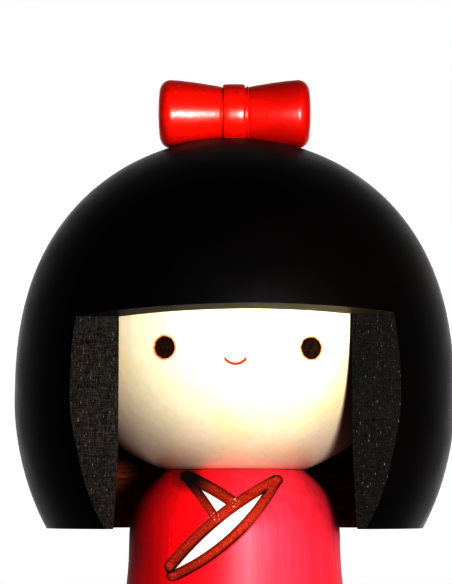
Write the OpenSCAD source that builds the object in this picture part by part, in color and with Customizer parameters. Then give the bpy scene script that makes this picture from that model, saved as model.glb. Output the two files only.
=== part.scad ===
/* [Torso] */
// Height of the torso up to its flat top
torso_h = 53.2; // [45:0.1:60]
// Radius of the torso at the base of the shoulders
torso_r = 19.1; // [17:0.1:21]
// Widest radius of the skirt near the foot
skirt_r = 21.5; // [20:0.1:24]
// Height where the shoulders start to round over
shoulder_z = 41; // [38:0.5:44]
// Width of a carved collar groove
groove_w = 1.6; // [1:0.1:2.4]
// Depth of the carved collar grooves
groove_depth = 0.6; // [0.3:0.1:1]

/* [Hair] */
// Largest radius of the hair cap
hair_r = 40; // [38:0.5:42]
// Height of the hair cap's widest ring
hair_wide_z = 65.6; // [64:0.1:67]
// Height of the crown
crown_z = 114.2; // [112:0.1:116]
// Height of the hair's lower rim
rim_z = 43; // [42.5:0.1:44]
// Radius of the turned hollow at its mouth and at its top
bore_r = 33; // [32.95:0.05:33.3]
// Radius of the hollow between them, where it stands clear of the head
relief_r = 33.8; // [33.4:0.05:34]
// Height of the fringe at the sawn front face
fringe_z = 79.2; // [77:0.1:81]
// Distance of the sawn front faces from the axis
cut_y = 28.3; // [27:0.1:30]
// Height below which the front faces lean back towards the rim
cut_bend_z = 56; // [50:0.5:60]

/* [Face] */
// Radius of the face block
face_r = 32.9; // [32.5:0.05:32.9]
// Height of the chin, where the head rests on the torso
chin_z = 53.5; // [53.4:0.05:54]
// Height of the eyes
eye_z = 73.6; // [71:0.1:75]
// Distance of each eye from the middle
eye_x = 12.4; // [10:0.1:14]

/* [Neck] */
// Radius of the neck dowel
dowel_r = 4; // [3:0.1:5]
// Running clearance of the dowel in the torso, on the radius
dowel_gap = 0.05; // [0.02:0.01:0.1]
// Depth of the dowel's hole in the torso
dowel_depth = 24; // [15:1:30]

/* [Bow] */
// Length of the bow
bow_l = 28.2; // [24:0.1:32]
// Radius of the bow near its ends
bow_r = 6.3; // [5.5:0.1:7]
// Radius of the neck beside the knot
bow_neck_r = 5.05; // [4.5:0.05:5.5]
// Height of the bow's axis
bow_z = 119.2; // [118.5:0.1:120]
// Radius of the peg under the bow
peg_r = 1.5; // [1:0.1:2]

/* [Hidden] */

// Hair profile: two superellipse quarters that meet at the widest ring
crown_p = 2.52;
crown_q = 1.98;
nape_h = 40.1;
nape_p = 1.795;
nape_q = 2.754;

// Hollow of the hair cap and the solid head inside it
glue_gap = 0.1;
mouth_top_z = 44.5;
relief_top_z = 80;
bore_top_z = 86;
dome_h = 18;
dome_r = 18;
face_h = 28.7;
face_mid_z = 80;

// Where the front faces meet the outside of the cap, and their turn and lean in degrees
cut_x = 27.5;
cut_turn = 7.2;
cut_lean = 7.8;
fringe_lean = 4.8;

// Depth of the dowel's hole in the face block
dowel_press = 20;

// Torso
foot_r = 20.7;
foot_edge = 1;
skirt_z = 13;
shoulder_h = 16;
shoulder_p = 2.2;

// Burnt eyes and mouth
eye_r = 1.8;
eye_depth = 0.4;
smile_z = 70.8;
smile_r = 2.1;
smile_half_angle = 58;
smile_line = 0.2;

// Bow
knot_r = 5.5;
knot_half = 2.35;
bow_end_round = 2.3;
seat_r = 35.5;
peg_bottom_z = 108;
peg_top_z = 118;

big = 200;

function crown_at(z) =
    hair_r * pow(max(0, 1 - pow((z - hair_wide_z) / (crown_z - hair_wide_z), crown_p)), 1 / crown_q);
function nape_at(z) = hair_r * pow(1 - pow((hair_wide_z - z) / nape_h, nape_p), 1 / nape_q);
function hair_at(z) = z > hair_wide_z ? crown_at(z) : nape_at(z);

function shoulder_at(z) = torso_r * sqrt(1 - pow((z - shoulder_z) / shoulder_h, shoulder_p));
function waist_at(z) =
    torso_r + (skirt_r - torso_r) * (1 - cos(180 * (shoulder_z - z) / (shoulder_z - skirt_z))) / 2;
function hem_at(z) = skirt_r - (skirt_r - foot_r) * pow((skirt_z - z) / skirt_z, 2);
function torso_at(z) = z > shoulder_z ? shoulder_at(z) : z > skirt_z ? waist_at(z) : hem_at(z);

// Heights that crowd towards the end of a span, where the outline turns quickly
function eased(low, high, count) = [for (i = [1:count]) low + (high - low) * sin(90 * i / count)];
function even(low, high, count) = [for (i = [1:count]) low + (high - low) * i / count];

module torso_turning(inset) {
    heights = concat(even(foot_edge, skirt_z, 4), even(skirt_z, shoulder_z, 10),
                     eased(shoulder_z, torso_h, 10));
    outline = [for (z = heights) [torso_at(z) - inset, z]];
    rotate_extrude($fn = 96)
        polygon(concat([[0, 0], [foot_r - foot_edge, 0], [foot_r - inset, foot_edge]], outline,
                       [[0, torso_h]]));
}

// Middle of the circle through three points
function circle_mid(a, b, c) =
    let (d = 2 * (a[0] * (b[1] - c[1]) + b[0] * (c[1] - a[1]) + c[0] * (a[1] - b[1])))
    [((a * a) * (b[1] - c[1]) + (b * b) * (c[1] - a[1]) + (c * c) * (a[1] - b[1])) / d,
     ((a * a) * (c[0] - b[0]) + (b * b) * (a[0] - c[0]) + (c * c) * (b[0] - a[0])) / d];

// A curved cut through the front of the kimono, by way of three points [x, z]
module front_cut(from, by, to, width) {
    mid = circle_mid(from, by, to);
    radius = norm(from - mid);
    start = atan2(from[1] - mid[1], from[0] - mid[0]);
    end = atan2(to[1] - mid[1], to[0] - mid[0]);
    turn = (end - start + 540) % 360 - 180;
    translate([mid[0], 0, mid[1]])
        rotate([90, 0, 0])
            rotate([0, 0, start])
                rotate_extrude(angle = turn, $fn = 180)
                    translate([radius - width / 2, 0])
                        square([width, big / 2]);
}

module collar_cuts() {
    front_cut([-8.3, 52.1], [-4.3, 50.1], [-0.4, 47.6], groove_w * 1.25);
    front_cut([-8.1, 51.5], [-5.3, 47.6], [-3.7, 45.2], groove_w);
    front_cut([7.6, 51.9], [-2.4, 45.3], [-11.4, 36.4], groove_w * 1.25);
    front_cut([7.4, 51.4], [3.35, 45.5], [-10.9, 34.7], groove_w);
}

module torso() {
    color("crimson")
    difference() {
        torso_turning(0);
        difference() {
            collar_cuts();
            torso_turning(groove_depth);
        }
        translate([0, 0, torso_h - dowel_depth])
            cylinder(r = dowel_r + dowel_gap, h = dowel_depth + 1, $fn = 64);
    }
}

module neck_dowel() {
    bottom = torso_h - dowel_depth + 1;
    top = chin_z + dowel_press;
    color("burlywood")
    rotate_extrude($fn = 64)
        polygon([[0, bottom], [dowel_r - 0.6, bottom], [dowel_r, bottom + 0.6],
                 [dowel_r, top - 0.6], [dowel_r - 0.6, top], [0, top]]);
}

// Quarter arc from the side of a radius up to a flat top, for the head and its hollow
function dome(side_r, lift) =
    [for (i = [0:8]) let (a = 90 * i / 8)
        [dome_r + (side_r - dome_r) * cos(a), bore_top_z + dome_h * sin(a) + lift]];

module head_turning(inset) {
    side_r = face_r - inset;
    chin = [for (z = eased(face_mid_z, chin_z, 14))
            [side_r * sqrt(1 - pow((face_mid_z - z) / face_h, 2)), z]];
    rotate_extrude($fn = 128)
        polygon(concat([[0, chin_z]], [for (i = [len(chin) - 1:-1:0]) chin[i]], [[side_r, face_mid_z]],
                       dome(side_r, 0), [[0, bore_top_z + dome_h]]));
}

module eye(side) {
    translate([side * eye_x, -big / 2, eye_z])
        rotate([-90, 0, 0])
            cylinder(r = eye_r, h = big / 2, $fn = 32);
}

module smile() {
    translate([0, 0, smile_z + smile_r])
        rotate([90, 0, 0])
            rotate([0, 0, -90 - smile_half_angle])
                rotate_extrude(angle = 2 * smile_half_angle, $fn = 48)
                    translate([smile_r - smile_line, 0])
                        square([2 * smile_line, big / 2]);
}

module face_block() {
    color("ivory")
    difference() {
        head_turning(0);
        difference() {
            union() {
                eye(-1);
                eye(1);
                smile();
            }
            head_turning(eye_depth);
        }
        translate([0, 0, chin_z - 1])
            cylinder(r = dowel_r, h = dowel_press + 1, $fn = 64);
    }
}

module hair_outside() {
    nape = [for (z = even(rim_z, hair_wide_z, 10)) [nape_at(z), z]];
    crown = [for (z = eased(hair_wide_z, crown_z, 20)) [crown_at(z), z]];
    rotate_extrude($fn = 144)
        polygon(concat([[0, rim_z], [nape_at(rim_z), rim_z]], nape, crown));
}

module hair_hollow() {
    rotate_extrude($fn = 128)
        polygon(concat([[0, rim_z - 1], [bore_r, rim_z - 1], [bore_r, mouth_top_z],
                        [relief_r, cut_bend_z], [relief_r, relief_top_z],
                        [bore_r, (relief_top_z + bore_top_z) / 2]],
                       dome(bore_r, glue_gap), [[0, bore_top_z + dome_h + glue_gap]]));
}

// Everything in front of two planes, which face each other a little and lean back from a height down
module front_of(lean, z) {
    intersection_for(side = [-1, 1])
        translate([side * cut_x, -cut_y, z])
            rotate([0, 0, -side * cut_turn])
                rotate([lean, 0, 0])
                    translate([-big, -big, -big])
                        cube([2 * big, big, 2 * big]);
}

// The block sawn out of the front, below the fringe
module front_notch() {
    intersection() {
        union() {
            front_of(0, cut_bend_z);
            front_of(cut_lean, cut_bend_z);
        }
        translate([0, -cut_y, fringe_z])
            rotate([-fringe_lean, 0, 0])
                translate([-big / 2, -big, -big])
                    cube([big, 2 * big, big]);
    }
}

module hair_cap() {
    color("#141414")
    difference() {
        hair_outside();
        hair_hollow();
        front_notch();
        translate([0, 0, peg_bottom_z])
            cylinder(r = peg_r, h = 20, $fn = 32);
    }
}

module bow_peg() {
    color("burlywood")
    translate([0, 0, peg_bottom_z])
        cylinder(r = peg_r, h = peg_top_z - peg_bottom_z, $fn = 32);
}

// Outline of one loop as [radius, distance from the knot's middle], knot first
bow_half = bow_l / 2;
bow_widest = bow_half - bow_end_round;
bow_side = concat(
    [[knot_r, knot_half - 0.6], [knot_r - 0.6, knot_half]],
    [for (i = [0:6]) let (u = i / 6)
        [bow_neck_r + (bow_r - bow_neck_r) * sin(90 * u), knot_half + (bow_widest - knot_half) * u]],
    [for (i = [1:6]) let (a = 90 * i / 6)
        [bow_r - bow_end_round * (1 - cos(a)), bow_widest + bow_end_round * sin(a)]],
    [[0, bow_half]]);

module bow() {
    mirrored = [for (i = [len(bow_side) - 1:-1:0]) [bow_side[i][0], -bow_side[i][1]]];
    color("red")
    difference() {
        translate([0, 0, bow_z])
            rotate([0, 90, 0])
                rotate_extrude($fn = 72)
                    polygon(concat(mirrored, bow_side));
        translate([0, 0, crown_z - seat_r])
            rotate([0, 0, 30])
                sphere(r = seat_r, $fn = 96);
        translate([0, 0, peg_bottom_z])
            cylinder(r = peg_r, h = peg_top_z - peg_bottom_z, $fn = 32);
    }
}

torso();
neck_dowel();
face_block();
hair_cap();
bow_peg();
bow();
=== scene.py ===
import math

import bmesh
import bpy
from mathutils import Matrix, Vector


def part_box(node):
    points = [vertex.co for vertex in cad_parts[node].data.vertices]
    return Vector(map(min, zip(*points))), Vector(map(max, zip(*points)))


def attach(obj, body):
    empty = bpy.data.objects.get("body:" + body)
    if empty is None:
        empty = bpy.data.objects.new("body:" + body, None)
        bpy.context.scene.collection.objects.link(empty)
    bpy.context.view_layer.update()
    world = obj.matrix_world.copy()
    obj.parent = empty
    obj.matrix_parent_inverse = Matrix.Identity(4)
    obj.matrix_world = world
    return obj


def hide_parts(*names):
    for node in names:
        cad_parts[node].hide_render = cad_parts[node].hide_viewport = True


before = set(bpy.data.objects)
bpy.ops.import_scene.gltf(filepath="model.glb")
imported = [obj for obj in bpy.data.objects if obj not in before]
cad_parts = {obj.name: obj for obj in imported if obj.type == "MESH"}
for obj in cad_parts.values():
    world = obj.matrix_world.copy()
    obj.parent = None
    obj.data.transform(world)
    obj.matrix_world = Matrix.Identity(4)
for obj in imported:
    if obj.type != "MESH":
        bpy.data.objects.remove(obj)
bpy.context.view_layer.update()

mm = 0.001
hairLow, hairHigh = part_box("hair_cap")
faceLow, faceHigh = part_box("face_block")
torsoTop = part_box("torso")[1].z
bowLow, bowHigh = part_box("bow")
print("frame loaded")


def spinProfile(points, segments, axis):
    mesh = bmesh.new()
    verts = [mesh.verts.new(p) for p in points]
    edges = [mesh.edges.new(pair) for pair in zip(verts, verts[1:])]
    bmesh.ops.spin(mesh, geom=verts + edges, cent=(0, 0, 0), axis=axis, angle=math.tau,
                   steps=segments, use_merge=True)
    bmesh.ops.remove_doubles(mesh, verts=mesh.verts, dist=0.002 * mm)
    bmesh.ops.recalc_face_normals(mesh, faces=mesh.faces)
    return mesh


def finishPiece(mesh, name, materials, body, node, sharpAngle=35):
    data = bpy.data.meshes.new(name)
    mesh.to_mesh(data)
    mesh.free()
    for material in materials:
        data.materials.append(material)
    data.shade_smooth()
    data.set_sharp_from_angle(angle=math.radians(sharpAngle))
    piece = bpy.data.objects.new(name, data)
    bpy.context.scene.collection.objects.link(piece)
    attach(piece, body)
    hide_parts(node)
    print("made", name, len(data.polygons), "faces")
    return piece


def spread(low, high, count):
    return [low + (high - low) * i / count for i in range(1, count + 1)]


def easedSpread(low, high, count):
    return [low + (high - low) * math.sin(math.pi / 2 * i / count) for i in range(1, count + 1)]


def aimedArc(start, middle, end):        # circle through three points [x, z], and its chord
    (ax, az), (bx, bz), (cx, cz) = start, middle, end
    d = 2 * (ax * (bz - cz) + bx * (cz - az) + cx * (az - bz))
    a2, b2, c2 = ax * ax + az * az, bx * bx + bz * bz, cx * cx + cz * cz
    centre = Vector(((a2 * (bz - cz) + b2 * (cz - az) + c2 * (az - bz)) / d, 0,
                     (a2 * (cx - bx) + b2 * (ax - cx) + c2 * (bx - ax)) / d)) * mm
    first, last = Vector((ax, 0, az)) * mm, Vector((cx, 0, cz)) * mm
    return {"centre": centre, "radius": (first - centre).length, "chordMid": (first + last) / 2,
            "chordHalf": (last - first).length / 2}


class Finish:
    def __init__(self, name):
        self.material = bpy.data.materials.new(name)
        self.material.use_nodes = True
        self.tree = self.material.node_tree
        self.shader = self.tree.nodes["Principled BSDF"]
        self.place = self.node("ShaderNodeTexCoord").outputs["Object"]

    def node(self, kind, inputs=None, **settings):
        made = self.tree.nodes.new(kind)
        for key, value in settings.items():
            setattr(made, key, value)
        for key, value in (inputs or {}).items():
            if isinstance(value, bpy.types.NodeSocket):
                self.tree.links.new(value, made.inputs[key])
            else:
                made.inputs[key].default_value = value
        return made

    def set(self, **values):
        names = {"base": "Base Color", "roughness": "Roughness", "specular": "Specular IOR Level",
                 "normal": "Normal"}
        for key, value in values.items():
            socket = self.shader.inputs[names[key]]
            if isinstance(value, bpy.types.NodeSocket):
                self.tree.links.new(value, socket)
            else:
                socket.default_value = value

    def scaled(self, scale):
        return self.node("ShaderNodeMapping", {"Vector": self.place, "Scale": scale}).outputs[0]

    def noise(self, scale, detail=3, roughness=0.5, vector=None):
        inputs = {"Vector": vector or self.place, "Scale": scale, "Detail": detail, "Roughness": roughness}
        return self.node("ShaderNodeTexNoise", inputs).outputs["Fac"]

    def math(self, operation, a, b=0.0, clamp=False):
        return self.node("ShaderNodeMath", {0: a, 1: b}, operation=operation, use_clamp=clamp).outputs[0]

    def remap(self, value, low, high, toLow=0.0, toHigh=1.0, **settings):
        inputs = {"Value": value, "From Min": low, "From Max": high, "To Min": toLow, "To Max": toHigh}
        return self.node("ShaderNodeMapRange", inputs, **settings).outputs[0]

    def mix(self, factor, a, b):
        node = self.node("ShaderNodeMix", data_type="RGBA")
        for index, value in ((0, factor), (6, a), (7, b)):
            if isinstance(value, bpy.types.NodeSocket):
                self.tree.links.new(value, node.inputs[index])
            else:
                node.inputs[index].default_value = value
        return node.outputs[2]

    def bump(self, height, distance, strength=1.0, normal=None):
        inputs = {"Height": height, "Distance": distance, "Strength": strength}
        if normal:
            inputs["Normal"] = normal
        return self.node("ShaderNodeBump", inputs).outputs[0]

    def flat(self):        # Object coordinates squashed on to the front plane
        return self.node("ShaderNodeVectorMath", {0: self.place, 1: (1, 0, 1)},
                         operation="MULTIPLY").outputs[0]

    def distance(self, vector, point):
        return self.node("ShaderNodeVectorMath", {0: vector, 1: tuple(point)},
                         operation="DISTANCE").outputs["Value"]

    def axis(self, index):
        return self.node("ShaderNodeSeparateXYZ", {0: self.place}).outputs[index]


hair = {
    "segments": 288, "lockRows": 36, "crownRows": 56,
    "notchColumns": 32,         # columns on each side of the middle that the notch takes
    "wideHeight": 65.6 * mm, "crownPower": 2.52, "crownRoot": 1.98,
    "napeDepth": 40.1 * mm, "napePower": 1.795, "napeRoot": 2.754,
    "mouthRadius": 33.0 * mm, "reliefRadius": 33.8 * mm, "mouthTop": 44.5 * mm,
    "reliefLow": 56 * mm, "reliefHigh": 80 * mm, "boreTop": 83 * mm, "domeLow": 86 * mm,
    "domeHeight": 18.1 * mm, "domeRadius": 18 * mm,
    "fringe": 79.2 * mm, "fringeSlope": 0.084, "fringeTilt": 0.012,
    "fringeLift": 0.2 * mm, "fringeBlend": 7 * mm,
    "cut": 28.3 * mm, "cutMiddle": 27.5 * mm,        # where each side face is set out from
    "cutTurn": math.radians(7.2), "bendHeight": 56 * mm, "cutLean": math.radians(7.8),
    "edgeRound": 0.05 * mm, "sharpAngle": 18, "tiny": 0.05 * mm,
    "wallReach": 0.3 * mm,        # anything closer to the hollow's outline than this belongs to it
}


def hairRadius(z):
    widest = hairHigh.x
    if z > hair["wideHeight"]:
        t = min(1, (z - hair["wideHeight"]) / (hairHigh.z - hair["wideHeight"]))
        return widest * (1 - t ** hair["crownPower"]) ** (1 / hair["crownRoot"])
    t = (hair["wideHeight"] - z) / hair["napeDepth"]
    return widest * (1 - t ** hair["napePower"]) ** (1 / hair["napeRoot"])


def hollowRadius(z):
    if z < hair["mouthTop"]:
        return hair["mouthRadius"]
    if z < hair["reliefLow"]:
        t = (z - hair["mouthTop"]) / (hair["reliefLow"] - hair["mouthTop"])
        return hair["mouthRadius"] + (hair["reliefRadius"] - hair["mouthRadius"]) * t
    if z < hair["reliefHigh"]:
        return hair["reliefRadius"]
    if z < hair["domeLow"]:
        t = min(1, (z - hair["reliefHigh"]) / (hair["boreTop"] - hair["reliefHigh"]))
        return hair["reliefRadius"] + (hair["mouthRadius"] - hair["reliefRadius"]) * t
    t = min(1, (z - hair["domeLow"]) / hair["domeHeight"])
    return hair["domeRadius"] + (hair["mouthRadius"] - hair["domeRadius"]) * math.sqrt(1 - t * t)


def cutAngle(z, radius):        # turn from the front at which a side face crosses a radius
    turn = hair["cutTurn"]
    depth = hair["cut"] - max(0, hair["bendHeight"] - z) * math.tan(hair["cutLean"]) / math.cos(turn)
    return math.acos((depth * math.cos(turn) - hair["cutMiddle"] * math.sin(turn)) / radius) - turn


def frontAngle(co):        # turn from the front, -Y, positive towards +X
    return math.atan2(co.x, -co.y)


def makeHairCap(materials):
    rows = [hair["fringe"]] + spread(hair["fringe"], hairLow.z, hair["lockRows"])
    crown = list(reversed(easedSpread(hair["fringe"], hairHigh.z, hair["crownRows"])))
    outside = [(0, hairHigh.z)] + [(hairRadius(z), z) for z in crown[1:] + rows]
    above = [81 * mm, hair["boreTop"], hair["domeLow"]]
    above += [hair["domeLow"] + hair["domeHeight"] * math.sin(math.radians(a)) for a in (20, 40, 60, 80, 90)]
    inside = [(hollowRadius(z), z) for z in reversed(rows)] + [(hollowRadius(z), z) for z in above]
    inside.append((0, hair["domeLow"] + hair["domeHeight"]))
    mesh = spinProfile([Vector((0, r, z)) for r, z in outside + inside], hair["segments"], (0, 0, 1))

    notch = math.tau * hair["notchColumns"] / hair["segments"]
    tiny, hollowTop = hair["tiny"], hair["domeLow"] + hair["domeHeight"]
    removed = [f for f in mesh.faces if abs(frontAngle(f.calc_center_median())) < notch
               and f.calc_center_median().z < hair["fringe"]]
    bmesh.ops.delete(mesh, geom=removed, context="FACES")

    for part in mesh.faces:        # 0 outside, 1 sawn sides, 2 hollow, 3 under the fringe
        centre = part.calc_center_median()
        radius = math.hypot(centre.x, centre.y)
        inHollow = centre.z < hollowTop + tiny and radius < hollowRadius(centre.z) + hair["wallReach"]
        part.material_index = 2 if inHollow else 0

    border = [e for e in mesh.edges if e.is_boundary]
    rim = [e for e in border if all(abs(v.co.z - hairLow.z) < tiny for v in e.verts)]
    fringeEdges = [e for e in border if all(abs(v.co.z - hair["fringe"]) < tiny for v in e.verts)]
    sides = [e for e in border if e not in rim and e not in fringeEdges]
    for group in (fringeEdges, [e for e in sides if e.verts[0].co.x > 0],
                  [e for e in sides if e.verts[0].co.x < 0]):
        made = bmesh.ops.bridge_loops(mesh, edges=group)
        for part in made["faces"]:
            part.material_index = 3 if group is fringeEdges else 1

    for vert in mesh.verts:
        turn, z = frontAngle(vert.co), vert.co.z
        radius = math.hypot(vert.co.x, vert.co.y)
        if radius < tiny:
            continue
        outer = z > hollowTop + tiny or radius > hollowRadius(z) + hair["wallReach"]
        outline = hairRadius if outer else hollowRadius
        level = min(z, hair["fringe"])
        target = cutAngle(level, outline(level))
        if abs(turn) <= notch:
            turn *= target / notch
        else:
            turn = math.copysign(target + (abs(turn) - notch) * (math.pi - target) / (math.pi - notch), turn)
        forward = max(0, outline(max(z, hair["fringe"])) * math.cos(turn) - hair["cut"])
        fade = 1 - (z - hair["fringe"]) / hair["fringeBlend"]
        if z > hair["fringe"] - tiny and fade > 0 and z < hair["domeLow"]:
            across = radius * math.sin(turn)
            z += (hair["fringeSlope"] * forward + hair["fringeTilt"] * across + hair["fringeLift"]) * fade
            radius = outline(z)
        vert.co = Vector((radius * math.sin(turn), -radius * math.cos(turn), z))

    bmesh.ops.recalc_face_normals(mesh, faces=mesh.faces)
    corners = [e for e in mesh.edges if len(e.link_faces) == 2
               and sorted(f.material_index for f in e.link_faces) in ([0, 1], [1, 2], [0, 3], [2, 3])]
    bmesh.ops.bevel(mesh, geom=corners, offset=hair["edgeRound"], offset_type="OFFSET", segments=2,
                    profile=0.5, affect="EDGES", material=-1)
    finishPiece(mesh, "hairCap", materials, "head", "hair_cap",
                hair["sharpAngle"])


face = {
    "segments": 256, "middle": 80 * mm, "chinDepth": 28.7 * mm,
    "domeLow": 86 * mm, "domeHeight": 18 * mm, "domeRadius": 18 * mm,
    "dowelHole": 4 * mm, "dowelDepth": 20 * mm,
    "eyes": [Vector((-12.0, 0, 73.65)) * mm, Vector((12.9, 0, 73.53)) * mm],
    "eyeHalf": (1.67 * mm, 1.8 * mm), "eyeDepth": 0.35 * mm,
    "smile": aimedArc((-1.8, 71.62), (0, 70.74), (1.8, 71.62)),
    "smileHalf": 0.21 * mm, "smileDepth": 0.12 * mm,
    "frontOf": -20 * mm,        # only the surface in front of this is carved
    "sharpAngle": 50,
}


def faceRadius(z):
    if z < face["middle"]:
        return faceHigh.x * math.sqrt(max(0, 1 - ((face["middle"] - z) / face["chinDepth"]) ** 2))
    if z < face["domeLow"]:
        return faceHigh.x
    t = min(1, (z - face["domeLow"]) / face["domeHeight"])
    return face["domeRadius"] + (faceHigh.x - face["domeRadius"]) * math.sqrt(1 - t * t)


def smoothStep(t):
    t = max(0, min(1, t))
    return t * t * (3 - 2 * t)


def eyeDistance(co):        # 1 at the rim of the nearer eye
    return min(math.hypot((co.x - e.x) / face["eyeHalf"][0], (co.z - e.z) / face["eyeHalf"][1])
               for e in face["eyes"])


def grooveDepth(co, arc, half, depth):
    p = Vector((co.x, 0, co.z))
    across = abs((p - arc["centre"]).length - arc["radius"]) / half
    along = arc["chordHalf"] - (p - arc["chordMid"]).length
    return depth * smoothStep((1.1 - across) / 0.7) * smoothStep(0.5 + along / half)


def refine(mesh, near, cuts):        # split the faces that near() picks, to carve fine shapes
    edges = {e for f in mesh.faces if near(f.calc_center_median()) for e in f.edges}
    bmesh.ops.subdivide_edges(mesh, edges=list(edges), cuts=cuts, use_grid_fill=True)


def makeFaceBlock(materials):
    dome = [face["domeLow"] + face["domeHeight"] * math.sin(math.radians(a)) for a in (20, 40, 60, 80)]
    heights = spread(faceLow.z, face["middle"], 48) + spread(face["middle"], face["domeLow"], 6) + dome
    points = [(0, faceLow.z + face["dowelDepth"]), (face["dowelHole"], faceLow.z + face["dowelDepth"]),
              (face["dowelHole"], faceLow.z), (faceRadius(faceLow.z), faceLow.z)]
    points += [(faceRadius(z), z) for z in heights]
    points += [(face["domeRadius"], faceHigh.z), (0, faceHigh.z)]
    mesh = spinProfile([Vector((0, r, z)) for r, z in points], face["segments"], (0, 0, 1))

    smileMid = face["smile"]["chordMid"]
    refine(mesh, lambda c: c.y < face["frontOf"] and min(eyeDistance(c), 9) < 1.5, 3)
    refine(mesh, lambda c: c.y < face["frontOf"] and (Vector((c.x, 0, c.z)) - smileMid).length < 3 * mm, 3)
    refine(mesh, lambda c: c.y < face["frontOf"] and 0.6 < eyeDistance(c) < 1.2, 1)
    refine(mesh, lambda c: c.y < face["frontOf"] and (Vector((c.x, 0, c.z)) - smileMid).length < 2.4 * mm, 1)
    for vert in mesh.verts:
        co = vert.co
        if co.y < face["frontOf"] and faceLow.z + mm < co.z < face["middle"] + 3 * mm:
            sunk = face["eyeDepth"] * smoothStep((1.04 - eyeDistance(co)) / 0.22)
            sunk += grooveDepth(co, face["smile"], face["smileHalf"], face["smileDepth"])
            radius = faceRadius(co.z) - sunk
            vert.co = Vector((co.x, -math.sqrt(radius * radius - co.x * co.x), co.z))
    finishPiece(mesh, "faceBlock", materials, "head", "face_block",
                face["sharpAngle"])


torso = {
    "segments": 288, "shoulderRadius": 19.1 * mm, "skirtRadius": 21.5 * mm, "footRadius": 20.7 * mm,
    "shoulder": 41 * mm, "shoulderHeight": 16 * mm, "shoulderPower": 2.2, "skirt": 13 * mm,
    "footEdge": 1 * mm, "dowelHole": 4.05 * mm, "dowelDepth": 24 * mm, "topEdge": 0.35 * mm,
    "carveDepth": 0.6 * mm, "topLift": 0.26 * mm, "holeEdge": 0.3 * mm, "sharpAngle": 50,
    "chips": [Vector((-0.1, 0, 47.5)) * mm, Vector((-3.4, 0, 45.0)) * mm],
    "underLapel": [(aimedArc((-8.6, 52.2), (-4.3, 50.1), (-0.2, 47.5)), 1.05 * mm),
                   (aimedArc((-8.3, 51.6), (-5.3, 47.6), (-3.6, 45.1)), 0.78 * mm)],
    "overLapel": [(aimedArc((7.45, 51.55), (-2.4, 45.3), (-11.4, 36.4)), 1.0 * mm),
                  (aimedArc((7.2, 51.1), (3.35, 45.5), (-10.9, 34.7)), 0.94 * mm)],
    # where a shadow under the chin is painted on the torso, and how far it reaches
    "chinShadow": Vector((-8.4, 0, 52.2)) * mm, "chinShadowReach": 5.0 * mm,
}


def torsoRadius(z):
    if z > torso["shoulder"]:
        t = (z - torso["shoulder"]) / torso["shoulderHeight"]
        return torso["shoulderRadius"] * math.sqrt(1 - t ** torso["shoulderPower"])
    if z > torso["skirt"]:
        t = (torso["shoulder"] - z) / (torso["shoulder"] - torso["skirt"])
        flare = torso["skirtRadius"] - torso["shoulderRadius"]
        return torso["shoulderRadius"] + flare * (1 - math.cos(math.pi * t)) / 2
    t = (torso["skirt"] - z) / torso["skirt"]
    return torso["skirtRadius"] - (torso["skirtRadius"] - torso["footRadius"]) * t * t


def collarDepth(co):
    return max(grooveDepth(co, arc, half, torso["carveDepth"])
               for arc, half in torso["underLapel"] + torso["overLapel"])


def makeTorso(materials):
    top = torsoTop + torso["topLift"]
    corner = torsoRadius(top - torso["topEdge"])
    foot = torso["footRadius"]
    points = [(0, top - torso["dowelDepth"]), (torso["dowelHole"], top - torso["dowelDepth"]),
              (torso["dowelHole"], top - torso["holeEdge"]), (torso["dowelHole"] + torso["holeEdge"], top),
              (corner - 2 * torso["topEdge"], top), (corner - 0.6 * torso["topEdge"], top - 0.1 * mm)]
    heights = list(reversed(easedSpread(torso["shoulder"], top - torso["topEdge"], 22)))
    heights += [torso["shoulder"]] + spread(torso["shoulder"], torso["skirt"], 28)
    heights += spread(torso["skirt"], torso["footEdge"], 12)
    points += [(torsoRadius(z), z) for z in heights]
    points += [(foot - torso["footEdge"] * (1 - math.cos(a)), torso["footEdge"] * (1 - math.sin(a)))
               for a in (math.radians(30), math.radians(60), math.radians(90))]
    points.append((0, 0))
    mesh = spinProfile([Vector((0, r, z)) for r, z in points], torso["segments"], (0, 0, 1))

    def onCollar(c):
        return c.y < 0 and -13 * mm < c.x < 10.5 * mm and 33.5 * mm < c.z < top - torso["topEdge"] and \
            max(grooveDepth(c, arc, half * 1.9, 1) for arc, half in
                torso["underLapel"] + torso["overLapel"]) > 0
    refine(mesh, onCollar, 2)
    refine(mesh, onCollar, 1)
    for vert in mesh.verts:
        co = vert.co
        if co.y < 0 and onCollar(co):
            radius = torsoRadius(co.z) - collarDepth(co)
            turn = frontAngle(co)
            vert.co = Vector((radius * math.sin(turn), -radius * math.cos(turn), co.z))
    for part in mesh.faces:
        if part.calc_center_median().z < 0.02 * mm:        # the undyed foot
            part.material_index = 1
    return finishPiece(mesh, "torsoBlock", materials, "torso", "torso",
                       torso["sharpAngle"])


bow = {
    "segments": 160, "axisHeight": 119.2 * mm, "loopRadius": 6.3 * mm, "neckRadius": 5.05 * mm,
    "loopRows": 22, "sharpAngle": 40, "endRound": 2.3 * mm, "endDome": 0.25 * mm,
    "ringRadius": 5.5 * mm, "ringLeft": -2.15 * mm,
    "ringRight": 1.95 * mm, "ringRound": 0.35 * mm, "groove": 0.28 * mm, "grooveDepth": 0.12 * mm,
    "bead": 0.3 * mm, "seatGap": 0.02 * mm, "seatReach": 0.25 * mm,
}


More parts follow.
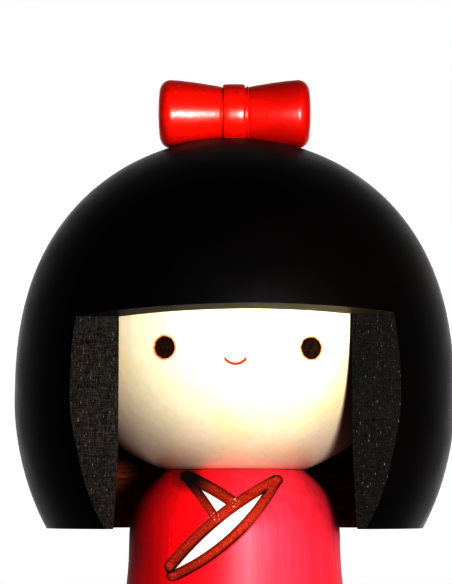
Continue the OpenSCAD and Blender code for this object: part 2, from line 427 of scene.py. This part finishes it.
def loopOutline(inner, outer, count):        # from beside the ring to the middle of the end
    sign = 1 if outer > inner else -1
    widest = outer - sign * bow["endRound"]
    points = []
    for i in range(count + 1):
        t = i / count
        rise = 0.45 * t + 0.55 * math.sin(t * math.pi / 2)
        radius = bow["neckRadius"] + (bow["loopRadius"] - bow["neckRadius"]) * rise
        points.append((inner + (widest - inner) * t, radius))
    for i in range(1, 13):
        a = math.pi / 2 * i / 12
        points.append((widest + sign * (bow["endRound"] - bow["endDome"]) * math.sin(a),
                       bow["loopRadius"] - bow["endRound"] * (1 - math.cos(a))))
    points.append((outer - sign * bow["endDome"] * 0.4, (bow["loopRadius"] - bow["endRound"]) * 0.6))
    points.append((outer, 0))
    return points


def makeBow(materials):
    neck, ring, step = bow["neckRadius"], bow["ringRadius"], bow["ringRound"]
    left, right = bow["ringLeft"], bow["ringRight"]
    dip = neck - bow["grooveDepth"]
    leftLoop = loopOutline(left - bow["groove"], bowLow.x, bow["loopRows"])
    rightLoop = loopOutline(right + 2 * bow["groove"] + bow["bead"], bowHigh.x, bow["loopRows"])
    knot = [(left - bow["groove"] * 0.5, dip), (left, dip), (left + 0.05 * mm, ring - step)]
    knot += [(left + step * (1 - math.cos(a)), ring - step * (1 - math.sin(a)))
             for a in (math.radians(35), math.radians(65), math.radians(90))]
    knot += [(left + (right - left) * t, ring + 0.03 * mm) for t in (0.35, 0.65)]
    knot += [(right - step * (1 - math.cos(a)), ring - step * (1 - math.sin(a)))
             for a in (math.radians(90), math.radians(65), math.radians(35))]
    knot += [(right, dip), (right + bow["groove"], dip)]
    knot += [(right + bow["groove"] + bow["bead"] * t, neck + 0.12 * mm) for t in (0.2, 0.8)]
    knot += [(right + bow["groove"] * 1.5 + bow["bead"], neck - 0.08 * mm)]
    outline = list(reversed(leftLoop)) + knot + rightLoop
    mesh = spinProfile([Vector((x, 0, r)) for x, r in outline], bow["segments"], (1, 0, 0))
    bmesh.ops.translate(mesh, verts=mesh.verts, vec=(0, 0, bow["axisHeight"]))
    for vert in mesh.verts:        # scribe the underside to the crown of the hair
        out = math.hypot(vert.co.x, vert.co.y)
        if vert.co.z < min(bow["axisHeight"], crownHeight(out) + bow["seatReach"]):
            vert.co.z = crownHeight(out) + bow["seatGap"]
    return finishPiece(mesh, "bowSpool", materials, "head", "bow",
                       bow["sharpAngle"])


def crownHeight(out):        # height of the hair above a distance from the axis
    t = (1 - (out / hairHigh.x) ** hair["crownRoot"]) ** (1 / hair["crownPower"])
    return hair["wideHeight"] + (hairHigh.z - hair["wideHeight"]) * t


def blackHairFinish():
    f = Finish("blackHairFinish")
    # warm brown mottling of the lacquer, with painted light: it grows stronger towards the lit +X side
    mottleWithPaintedLight = f.math("MULTIPLY", f.remap(f.noise(38, 4), 0.3, 0.65), f.remap(f.axis(0), -0.02, 0.035))
    f.set(base=f.mix(mottleWithPaintedLight, (0.003, 0.0028, 0.0028, 1), (0.014, 0.0045, 0.0028, 1)))
    turned = f.noise(1, 4, 0.6, f.scaled((60, 60, 1400)))        # faint rings left by the lathe
    f.set(roughness=f.remap(f.noise(150, 4), 0.3, 0.7, 0.38, 0.44), specular=0.72)
    height = f.math("ADD", f.noise(900, 3, 0.6), f.math("MULTIPLY", turned, 0.6))
    f.set(normal=f.bump(height, 0.005 * mm, 0.5))
    return f.material


def sawnHairFinish():
    f = Finish("sawnHairFinish")
    # painted light: the pale tone is lighter on the left sawn face than on the right one, as the lamp
    # catches them
    paintedLightAcrossX = f.remap(f.axis(0), -0.01, 0.01)
    fibre = f.noise(1, 4, 0.7, f.scaled((5200, 5200, 800)))
    sawLine = f.noise(1, 3, 0.6, f.scaled((700, 700, 5600)))
    stain = f.remap(f.noise(240, 3), 0.4, 0.6)
    dark = f.mix(stain, (0.006, 0.009, 0.006, 1), (0.017, 0.007, 0.007, 1))
    paleWithPaintedLight = f.mix(paintedLightAcrossX, (0.1, 0.083, 0.07, 1), (0.052, 0.047, 0.036, 1))
    texture = f.math("ADD", f.math("MULTIPLY", fibre, 0.6), f.math("MULTIPLY", sawLine, 0.4))
    tone = f.mix(f.remap(texture, 0.42, 0.62), dark, paleWithPaintedLight)
    speck = f.remap(f.noise(1, 2, 0.5, f.scaled((4600, 4600, 1200))), 0.66, 0.74)
    tone = f.mix(speck, tone, (0.27, 0.26, 0.23, 1))
    f.set(base=tone, roughness=0.7, specular=0.3, normal=f.bump(texture, 0.1 * mm, 0.8))
    return f.material


def fringeUnderFinish():
    f = Finish("fringeUnderFinish")
    grain = f.noise(1, 5, 0.7, f.scaled((180, 3600, 3600)))
    # painted light: the underside of the fringe is painted brighter towards +X, where the lamp lights it
    paintedLightAcrossX = f.remap(f.axis(0), 0.0, 0.02)
    paleWithPaintedLight = f.mix(paintedLightAcrossX, (0.09, 0.075, 0.048, 1), (0.5, 0.44, 0.26, 1))
    f.set(base=f.mix(f.remap(grain, 0.36, 0.62), (0.025, 0.02, 0.014, 1), paleWithPaintedLight))
    f.set(roughness=0.45, specular=0.6, normal=f.bump(grain, 0.1 * mm, 0.7))
    return f.material


def stainedHollowFinish():
    f = Finish("stainedHollowFinish")
    rings = f.noise(1, 4, 0.6, f.scaled((300, 300, 1500)))
    f.set(base=f.mix(f.remap(rings, 0.3, 0.7), (0.08, 0.028, 0.012, 1), (0.28, 0.1, 0.042, 1)))
    f.set(roughness=0.55, specular=0.35, normal=f.bump(rings, 0.06 * mm, 0.6))
    return f.material


def woodTone(f, pale, dark, strength):        # long grain that runs up the turning axis
    grain = f.noise(1, 6, 0.6, f.scaled((900, 900, 45)))
    growth = f.noise(1, 3, 0.5, f.scaled((160, 160, 12)))
    both = f.math("ADD", f.math("MULTIPLY", grain, 0.7), f.math("MULTIPLY", growth, 0.3))
    return f.mix(f.math("MULTIPLY", f.remap(both, 0.38, 0.68), strength), pale, dark), both


def paleFaceFinish():
    f = Finish("paleFaceFinish")
    tone, grain = woodTone(f, (0.78, 0.74, 0.61, 1), (0.7, 0.64, 0.49, 1), 0.5)
    tan = f.math("MULTIPLY", f.remap(f.noise(75, 3), 0.5, 0.68), 0.6)
    tone = f.mix(tan, tone, (0.78, 0.69, 0.47, 1))
    flat = f.flat()
    front = f.math("LESS_THAN", f.axis(1), -0.02)
    wobble = f.remap(f.noise(1400, 3), 0.3, 0.7, -0.05, 0.05)
    halo, core = None, None
    for eye in face["eyes"]:
        shifted = f.node("ShaderNodeVectorMath", {0: flat, 1: tuple(eye)}, operation="SUBTRACT").outputs[0]
        squeezed = f.node("ShaderNodeVectorMath",
                          {0: shifted, 1: (1 / face["eyeHalf"][0], 0, 1 / face["eyeHalf"][1])},
                          operation="MULTIPLY").outputs[0]
        reach = f.node("ShaderNodeVectorMath", {0: squeezed}, operation="LENGTH").outputs["Value"]
        reach = f.math("ADD", reach, wobble)
        glow, pit = f.remap(reach, 1.42, 0.98), f.remap(reach, 1.03, 0.93)
        halo = f.math("MAXIMUM", halo, glow) if halo else glow
        core = f.math("MAXIMUM", core, pit) if core else pit
    halo = f.math("MULTIPLY", f.math("POWER", halo, 2.2), front)
    core = f.math("MULTIPLY", core, front)
    tone = f.mix(halo, tone, (0.5, 0.17, 0.03, 1))
    tone = f.mix(core, tone, f.mix(f.remap(f.noise(1800, 2), 0.35, 0.65), (0.03, 0.01, 0.006, 1),
                                   (0.09, 0.035, 0.018, 1)))
    smile = face["smile"]
    ring = f.math("ABSOLUTE", f.math("SUBTRACT", f.distance(flat, smile["centre"]), smile["radius"]))
    line = f.remap(ring, face["smileHalf"] * 1.15, face["smileHalf"] * 0.7)
    ends = f.remap(f.distance(flat, smile["chordMid"]), smile["chordHalf"] * 1.08, smile["chordHalf"] * 0.98)
    line = f.math("MULTIPLY", f.math("MULTIPLY", line, ends), front)
    f.set(base=f.mix(line, tone, (0.5, 0.1, 0.035, 1)))
    f.set(roughness=f.math("ADD", f.math("MULTIPLY", core, 0.3), 0.42), specular=0.4)
    f.set(normal=f.bump(grain, 0.02 * mm, 0.35))
    return f.material


def lineReach(f, flat, arc, half):        # 0 along the middle of a carved line, 1 at its edge
    ring = f.math("SUBTRACT", f.distance(flat, arc["centre"]), arc["radius"])
    beyond = f.math("SUBTRACT", f.distance(flat, arc["chordMid"]), arc["chordHalf"])
    beyond = f.math("MAXIMUM", beyond, 0.0)
    reach = f.math("SQRT", f.math("ADD", f.math("MULTIPLY", ring, ring), f.math("MULTIPLY", beyond, beyond)))
    return f.math("DIVIDE", reach, half)


def sideOf(f, flat, arc, half, inside):        # 1 on one side of a carved line
    offset = f.math("SUBTRACT", f.distance(flat, arc["centre"]), arc["radius"])
    soft = 0.06 * mm
    if inside:
        return f.remap(offset, -half + soft, -half)
    return f.remap(offset, half - soft, half)


def dyedTorsoFinish():
    f = Finish("dyedTorsoFinish")
    red, _ = woodTone(f, (0.8, 0.02, 0.045, 1), (0.62, 0.012, 0.028, 1), 0.7)
    # painted sheen: the red turns pinker towards +X, standing in for the sheen on the lit side
    paintedSheenPink, grain = woodTone(f, (0.8, 0.12, 0.18, 1), (0.68, 0.06, 0.1, 1), 0.7)
    patch = f.math("MULTIPLY", f.noise(70, 3), 0.016)
    paintedLightAcrossX = f.remap(f.math("ADD", f.axis(0), patch), -0.004, 0.02, interpolation_type="SMOOTHSTEP")
    red = f.mix(paintedLightAcrossX, red, paintedSheenPink)
    flat = f.flat()
    front = f.math("LESS_THAN", f.axis(1), 0)
    (underTop, underTopHalf), (underLow, underLowHalf) = torso["underLapel"]
    (overTop, overTopHalf), (overLow, overLowHalf) = torso["overLapel"]
    overBand = f.math("MULTIPLY", sideOf(f, flat, overTop, overTopHalf, True),
                      sideOf(f, flat, overLow, overLowHalf, True))
    aboveOver = sideOf(f, flat, overTop, overTopHalf, False)
    underBand = f.math("MULTIPLY", sideOf(f, flat, underTop, underTopHalf, True),
                       sideOf(f, flat, underLow, underLowHalf, False))
    underBand = f.math("MULTIPLY", underBand, aboveOver)
    white = f.math("MULTIPLY", f.math("MAXIMUM", overBand, underBand), front)
    reach, ridgeShade = None, None
    for lapel in ("underLapel", "overLapel"):        # painted shade: the dark ridge is where two cuts run together
        upper, lower = [lineReach(f, flat, arc, half) for arc, half in torso[lapel]]
        nearer, further = f.math("MINIMUM", upper, lower), f.math("MAXIMUM", upper, lower)
        meetingShade = f.math("MULTIPLY", f.remap(nearer, 0.55, 0.9), f.remap(further, 1.5, 1.1))
        reach = f.math("MINIMUM", reach, nearer) if reach else nearer
        ridgeShade = f.math("MAXIMUM", ridgeShade, meetingShade) if ridgeShade else meetingShade
    carved = f.math("MULTIPLY", f.remap(reach, 1.05, 0.94), front)
    wallShade = f.remap(reach, 0.35, 0.95)        # painted shade: the sides of the cut are darker than its floor
    tone = f.mix(white, red, (0.8, 0.73, 0.7, 1))
    fibre = f.remap(f.noise(3800, 4, 0.75), 0.32, 0.68)
    cutTone = f.mix(fibre, (0.2, 0.03, 0.012, 1), (0.62, 0.11, 0.045, 1))
    cutTone = f.mix(f.math("MULTIPLY", wallShade, 0.6), cutTone, (0.14, 0.018, 0.008, 1))
    # painted shadow under the chin: the cut lines and the red darken around this point
    chinShadow = f.math("MULTIPLY", f.remap(f.distance(flat, torso["chinShadow"]), torso["chinShadowReach"], 0.0), front)
    cutTone = f.mix(f.math("MAXIMUM", f.remap(chinShadow, 0.0, 0.7), ridgeShade), cutTone, (0.03, 0.008, 0.004, 1))
    tone = f.mix(f.math("MULTIPLY", f.remap(chinShadow, 0.35, 0.9), 0.8), tone, (0.08, 0.005, 0.007, 1))
    tone = f.mix(carved, tone, cutTone)
    chipped = None
    for place in torso["chips"]:
        near = f.remap(f.distance(flat, place), 0.95 * mm, 0.55 * mm)
        chipped = f.math("MAXIMUM", chipped, near) if chipped else near
    splinters = f.remap(f.noise(2300, 3, 0.6), 0.55, 0.6)
    chipped = f.math("MULTIPLY", f.math("MULTIPLY", chipped, splinters), front)
    tone = f.mix(chipped, tone, (0.75, 0.62, 0.5, 1))
    f.set(base=tone, roughness=f.math("ADD", f.math("MULTIPLY", carved, 0.25), 0.5), specular=0.6)
    rough = f.math("MULTIPLY", f.noise(2600, 4, 0.7), f.math("ADD", carved, 0.04))
    f.set(normal=f.bump(rough, 0.15 * mm, 0.6, f.bump(grain, 0.02 * mm, 0.4)))
    return f.material


def redBowFinish():
    f = Finish("redBowFinish")
    mottle = f.remap(f.noise(1100, 5, 0.65), 0.3, 0.65)
    tone = f.mix(mottle, (0.66, 0.026, 0.009, 1), (0.76, 0.04, 0.012, 1))
    # painted shade: the bow is darker towards +X, its less lit right side
    paintedLightAcrossX = f.remap(f.axis(0), 0.0, 0.008)
    f.set(base=f.mix(f.math("MULTIPLY", paintedLightAcrossX, 0.7), tone, (0.5, 0.012, 0.004, 1)))
    f.set(roughness=f.remap(f.noise(900, 4, 0.6), 0.3, 0.7, 0.33, 0.44), specular=0.8)
    f.set(normal=f.bump(f.noise(1000, 4, 0.65), 0.03 * mm, 0.8))
    return f.material


def bareWoodFinish():
    f = Finish("bareWoodFinish")
    tone, grain = woodTone(f, (0.66, 0.47, 0.27, 1), (0.48, 0.3, 0.15, 1), 0.8)
    f.set(base=tone, roughness=0.6, specular=0.3, normal=f.bump(grain, 0.04 * mm, 0.5))
    return f.material


bareWood = bareWoodFinish()
makeHairCap([blackHairFinish(), sawnHairFinish(), stainedHollowFinish(), fringeUnderFinish()])
makeFaceBlock([paleFaceFinish()])
torsoPiece = makeTorso([dyedTorsoFinish(), bareWood])
bowPiece = makeBow([redBowFinish()])
for name in ("neck_dowel", "bow_peg"):
    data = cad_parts[name].data
    data.materials.clear()
    data.materials.append(bareWood)
print("pieces finished")


stage = {
    "floorRadius": 0.62, "contrast": 0.45,
    "keyPlace": Vector((0.076, -0.39, 0.05)), "keyTarget": Vector((0, 0, 0.08)), "keySize": 0.045,
    "keyPower": 2.6,
    "sidePlace": Vector((0.42, -0.42, 0.06)), "sideSize": 0.35, "sidePower": 0.75,
    "backPlace": Vector((-0.4, 0.3, 0.3)), "backSize": 0.4, "backPower": 2.0,
    "floorLightHeight": 0.9, "floorLightSize": 1.8, "floorLightPower": 30,
    "wallTurn": math.radians(2), "wallGloss": 2.5, "wallGlossFocus": 3.2, "wallFill": 6.0,
    "wallFillFocus": 5.0, "ambient": 0.06,
    "cameraPlace": Vector((-1.57, -400, 45.2)) * mm, "cameraTilt": math.radians(5.84), "lens": 134.94,
}


def makeFloor():
    mesh = bmesh.new()
    bmesh.ops.create_circle(mesh, cap_ends=True, segments=96, radius=stage["floorRadius"])
    bmesh.ops.translate(mesh, verts=mesh.verts, vec=(0, 0, -0.05 * mm))
    data = bpy.data.meshes.new("floor")
    mesh.to_mesh(data)
    mesh.free()
    f = Finish("floorFinish")
    f.set(base=f.mix(f.remap(f.noise(30, 3), 0.3, 0.7), (0.8, 0.8, 0.8, 1), (0.83, 0.83, 0.82, 1)))
    f.set(roughness=0.8, specular=0.2)
    data.materials.append(f.material)
    floor = bpy.data.objects.new("floor", data)
    floor.visible_diffuse = False        # a pale floor that throws no light up at the doll
    floor.visible_glossy = False
    bpy.context.scene.collection.objects.link(floor)
    return floor


def addDisk(name, place, target, size, power):
    data = bpy.data.lights.new(name, "AREA")
    data.shape = "DISK"
    data.size = size
    data.energy = power
    lamp = bpy.data.objects.new(name, data)
    lamp.visible_camera = False
    bpy.context.scene.collection.objects.link(lamp)
    lamp.location = place
    lamp.rotation_euler = (place - target).to_track_quat("Z", "Y").to_euler()
    return lamp


def onlyOn(lamp, name, pieces):        # the lamp lights these pieces and nothing else
    group = bpy.data.collections.new(name)
    for piece in pieces:
        group.objects.link(piece)
    lamp.light_linking.receiver_collection = group


def addLights(floor):
    addDisk("keyLight", stage["keyPlace"], stage["keyTarget"], stage["keySize"], stage["keyPower"])
    addDisk("sideLight", stage["sidePlace"], stage["keyTarget"], stage["sideSize"], stage["sidePower"])
    height = stage["floorLightHeight"]
    overhead = addDisk("floorLight", Vector((0, 0, height)), Vector((0, 0, 0)), stage["floorLightSize"],
                       stage["floorLightPower"])
    onlyOn(overhead, "floorOnly", [floor])
    backLamp = addDisk("backLight", stage["backPlace"], stage["keyTarget"], stage["backSize"],
                       stage["backPower"])
    backLamp.visible_glossy = False
    onlyOn(backLamp, "backLit", [torsoPiece, bowPiece])


def makeSky():        # white to the eye; a lit wall behind the doll and a dark room in front
    world = bpy.data.worlds.new("studio")
    world.use_nodes = True
    tree = world.node_tree
    tree.nodes.clear()

    def add(kind, inputs, **settings):
        node = tree.nodes.new(kind)
        for key, value in settings.items():
            setattr(node, key, value)
        for key, value in inputs.items():
            if isinstance(value, bpy.types.NodeSocket):
                tree.links.new(value, node.inputs[key])
            else:
                node.inputs[key].default_value = value
        return node.outputs[0] if len(node.outputs) else None

    place = tree.nodes.new("ShaderNodeTexCoord").outputs["Generated"]
    toWall = (math.sin(stage["wallTurn"]), math.cos(stage["wallTurn"]), 0)
    facing = tree.nodes.new("ShaderNodeVectorMath")
    facing.operation = "DOT_PRODUCT"
    facing.inputs[1].default_value = toWall
    tree.links.new(place, facing.inputs[0])
    path = tree.nodes.new("ShaderNodeLightPath")
    behind = add("ShaderNodeMath", {0: facing.outputs["Value"], 1: 0.0}, operation="MAXIMUM")
    gloss = add("ShaderNodeMath", {0: behind, 1: stage["wallGlossFocus"]}, operation="POWER")
    gloss = add("ShaderNodeMath", {0: gloss, 1: stage["wallGloss"], 2: stage["ambient"]},
                operation="MULTIPLY_ADD")
    fill = add("ShaderNodeMath", {0: behind, 1: stage["wallFillFocus"]}, operation="POWER")
    fill = add("ShaderNodeMath", {0: fill, 1: stage["wallFill"], 2: stage["ambient"]},
               operation="MULTIPLY_ADD")
    strength = add("ShaderNodeMix", {0: path.outputs["Is Diffuse Ray"], 2: gloss, 3: fill})
    sky = add("ShaderNodeBackground", {"Color": (1, 1, 1, 1), "Strength": strength})
    white = add("ShaderNodeBackground", {"Color": (1, 1, 1, 1)})
    both = add("ShaderNodeMixShader", {0: path.outputs["Is Camera Ray"], 1: sky, 2: white})
    add("ShaderNodeOutputWorld", {0: both})
    bpy.context.scene.world = world


def makeCamera():
    data = bpy.data.cameras.new("camera")
    data.lens = stage["lens"]
    data.sensor_width = 36
    data.clip_start = 0.01
    camera = bpy.data.objects.new("camera", data)
    bpy.context.scene.collection.objects.link(camera)
    camera.location = stage["cameraPlace"]
    camera.rotation_euler = (math.pi / 2 + stage["cameraTilt"], 0, 0)
    bpy.context.scene.camera = camera


addLights(makeFloor())
makeSky()
makeCamera()
bpy.context.scene.view_settings.view_transform = "Standard"
bpy.context.scene.view_settings.gamma = stage["contrast"]
print("stage set")
